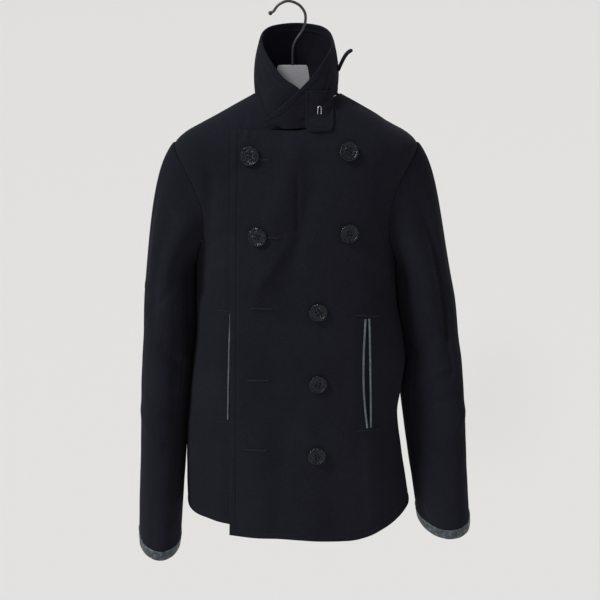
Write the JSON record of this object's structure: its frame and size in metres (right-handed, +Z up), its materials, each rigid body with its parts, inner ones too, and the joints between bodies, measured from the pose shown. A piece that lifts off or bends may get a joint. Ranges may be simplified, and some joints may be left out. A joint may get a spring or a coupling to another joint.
{
  "type": "pea coat on a hanger",
  "caption": "Navy wool double-breasted pea coat, collar up and crossed, buttoned at its top two rows, hanging on a grey hanger with a wire hook.",
  "frame": {"origin": "inside top of the hanger's hook, where a peg carries it", "axes": "+Z up, the front faces -Y, +X towards the wearer's left sleeve"},
  "size_m": [0.5635, 0.2109, 0.892],
  "materials": {
    "melton": "napped wool, matt",
    "leather_trim": "satin, mottled",
    "button_black": "gloss",
    "hanger_grey": "matt",
    "hook_wire": "semi-gloss",
    "hook_eye_metal": "bright"
  },
  "bodies": {
    "root": {"front_left": "melton", "front_right": "melton", "back": "melton", "top_sleeve_right": "melton", "under_sleeve_right": "melton", "cuff_binding_right": "leather_trim", "top_sleeve_left": "melton", "under_sleeve_left": "melton", "cuff_binding_left": "leather_trim", "collar": "melton", "throat_tab": "melton", "collar_hook": "hook_eye_metal", "strap_end": "melton", "button_1_right": "button_black", "button_2_right": "button_black", "button_1_left": "button_black", "button_2_left": "button_black", "button_3_left": "button_black", "button_4_left": "button_black", "button_5_left": "button_black", "jet_left_inner": "leather_trim", "jet_left_outer": "leather_trim", "jet_right_inner": "leather_trim", "jet_right_outer": "leather_trim", "hanger": "hanger_grey", "hanger_hook": "hook_wire"}
  },
  "joints": []
}
